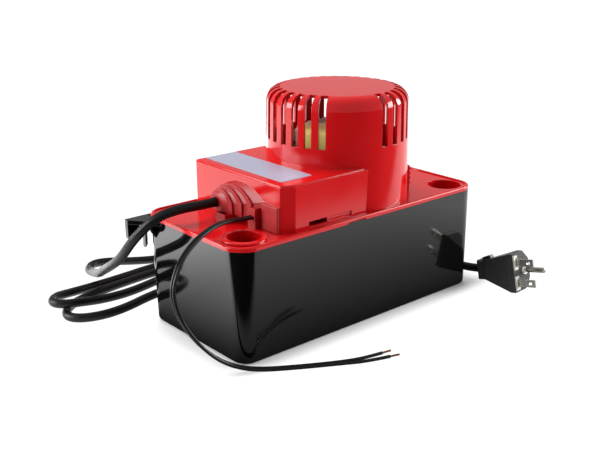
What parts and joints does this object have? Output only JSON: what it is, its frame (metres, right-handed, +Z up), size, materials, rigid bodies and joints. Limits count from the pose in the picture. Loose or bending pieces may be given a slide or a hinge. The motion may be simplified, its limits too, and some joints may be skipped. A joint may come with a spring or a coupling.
{
  "type": "condensate pump",
  "caption": "Condensate pump: a tank gathers drain water, a float works its switches and a motor under a slotted cover lifts it out through a check valve; with mains cord and leads.",
  "frame": {"origin": "on the floor, under the middle of the tank, lid and wall ears", "axes": "+Z up, +X along the tank's length towards the motor end, +Y to the wall side with the ears, -Y the long front face"},
  "size_m": [0.3522, 0.318, 0.1816],
  "materials": {
    "black_tank": "glossy moulded",
    "red_shell": "glossy moulded",
    "bare_label": "satin film",
    "core_steel": "stacked sheets",
    "white_nylon": "satin",
    "coil_tape": "polyester tape",
    "zinc_steel": "zinc plated",
    "bronze": "sintered",
    "rotor_iron": "turned",
    "steel_shaft": "ground",
    "black_rubber": "matt",
    "black_plastic": "satin",
    "grey_plastic": "satin",
    "ball_rubber": "smooth",
    "float_foam": "closed-cell skin",
    "switch_plastic": "satin",
    "button_red": "satin",
    "cord_rubber": "satin",
    "lead_pvc": "glossy",
    "copper": "stranded",
    "cap_orange": "satin",
    "plug_rubber": "satin",
    "blade_brass": "nickel plated"
  },
  "bodies": {
    "housing": {"back_lead": "lead_pvc", "bobbin": "white_nylon", "coil": "coil_tape", "column_screws": "zinc_steel", "cord_bushing": "black_rubber", "discharge_tube": "black_rubber", "front_lead": "lead_pvc", "ground_pin": "blade_brass", "inlet_collar": "red_shell", "intake_plate": "black_plastic", "lead_tips": "copper", "lid": "red_shell", "lower_bearing": "bronze", "lower_bracket": "zinc_steel", "motor_bolts": "zinc_steel", "motor_cover": "red_shell", "plug_blades": "blade_brass", "plug_body": "plug_rubber", "plug_inserts": "white_nylon", "power_cord": "cord_rubber", "pump_column": "black_plastic", "rating_plate": "bare_label", "run_switch": "switch_plastic", "safety_switch": "switch_plastic", "splice_caps": "cap_orange", "stator_core": "core_steel", "switch_bracket": "zinc_steel", "switch_screws": "zinc_steel", "tank": "black_tank", "upper_bearing": "bronze", "upper_bracket": "zinc_steel", "valve_base": "grey_plastic", "valve_cap": "grey_plastic", "valve_gasket": "black_rubber", "valve_nut": "grey_plastic", "volute_housing": "black_plastic"},
    "rotor_group": {"rotor": "rotor_iron", "motor_shaft": "steel_shaft", "slinger": "black_rubber", "impeller": "grey_plastic"},
    "float_group": {"float_block": "float_foam", "float_rod": "steel_shaft"},
    "run_lever_body": {"run_lever": "zinc_steel"},
    "safety_lever_body": {"safety_lever": "zinc_steel"},
    "run_button_body": {"run_button": "button_red"},
    "safety_button_body": {"safety_button": "button_red"},
    "ball_body": {"check_ball": "ball_rubber"}
  },
  "joints": [
    {"name": "rotor_spin", "type": "hinge", "parent": "housing", "child": "rotor_group", "pos_m": [0.021, 0, 0.1335], "axis": [0, 0, 1], "continuous": true},
    {"name": "float_lift", "type": "slide", "parent": "housing", "child": "float_group", "axis": [0, 0, 1], "range_m": [0, 0.01]},
    {"name": "run_lever_tilt", "type": "hinge", "parent": "housing", "child": "run_lever_body", "pos_m": [-0.076, 0.02205, 0.1065], "axis": [0, -1, 0], "range_deg": [0, 13.35]},
    {"name": "safety_lever_tilt", "type": "hinge", "parent": "housing", "child": "safety_lever_body", "pos_m": [-0.076, 0.03395, 0.1065], "axis": [0, -1, 0], "range_deg": [0, 13.35]},
    {"name": "run_button_push", "type": "slide", "parent": "housing", "child": "run_button_body", "axis": [0, 0, 1], "range_m": [0, 0.00143]},
    {"name": "safety_button_push", "type": "slide", "parent": "housing", "child": "safety_button_body", "axis": [0, 0, 1], "range_m": [0, 0.00143]},
    {"name": "ball_lift", "type": "slide", "parent": "housing", "child": "ball_body", "axis": [0, 0, 1], "range_m": [0, 0.003]}
  ],
  "couplings": [
    {"joint": "run_lever_tilt", "follows": "float_lift", "rad_per_m": 23.247},
    {"joint": "safety_lever_tilt", "follows": "float_lift", "rad_per_m": 23.247},
    {"joint": "run_button_push", "follows": "float_lift", "ratio": 0.14286},
    {"joint": "safety_button_push", "follows": "float_lift", "ratio": 0.14286}
  ]
}
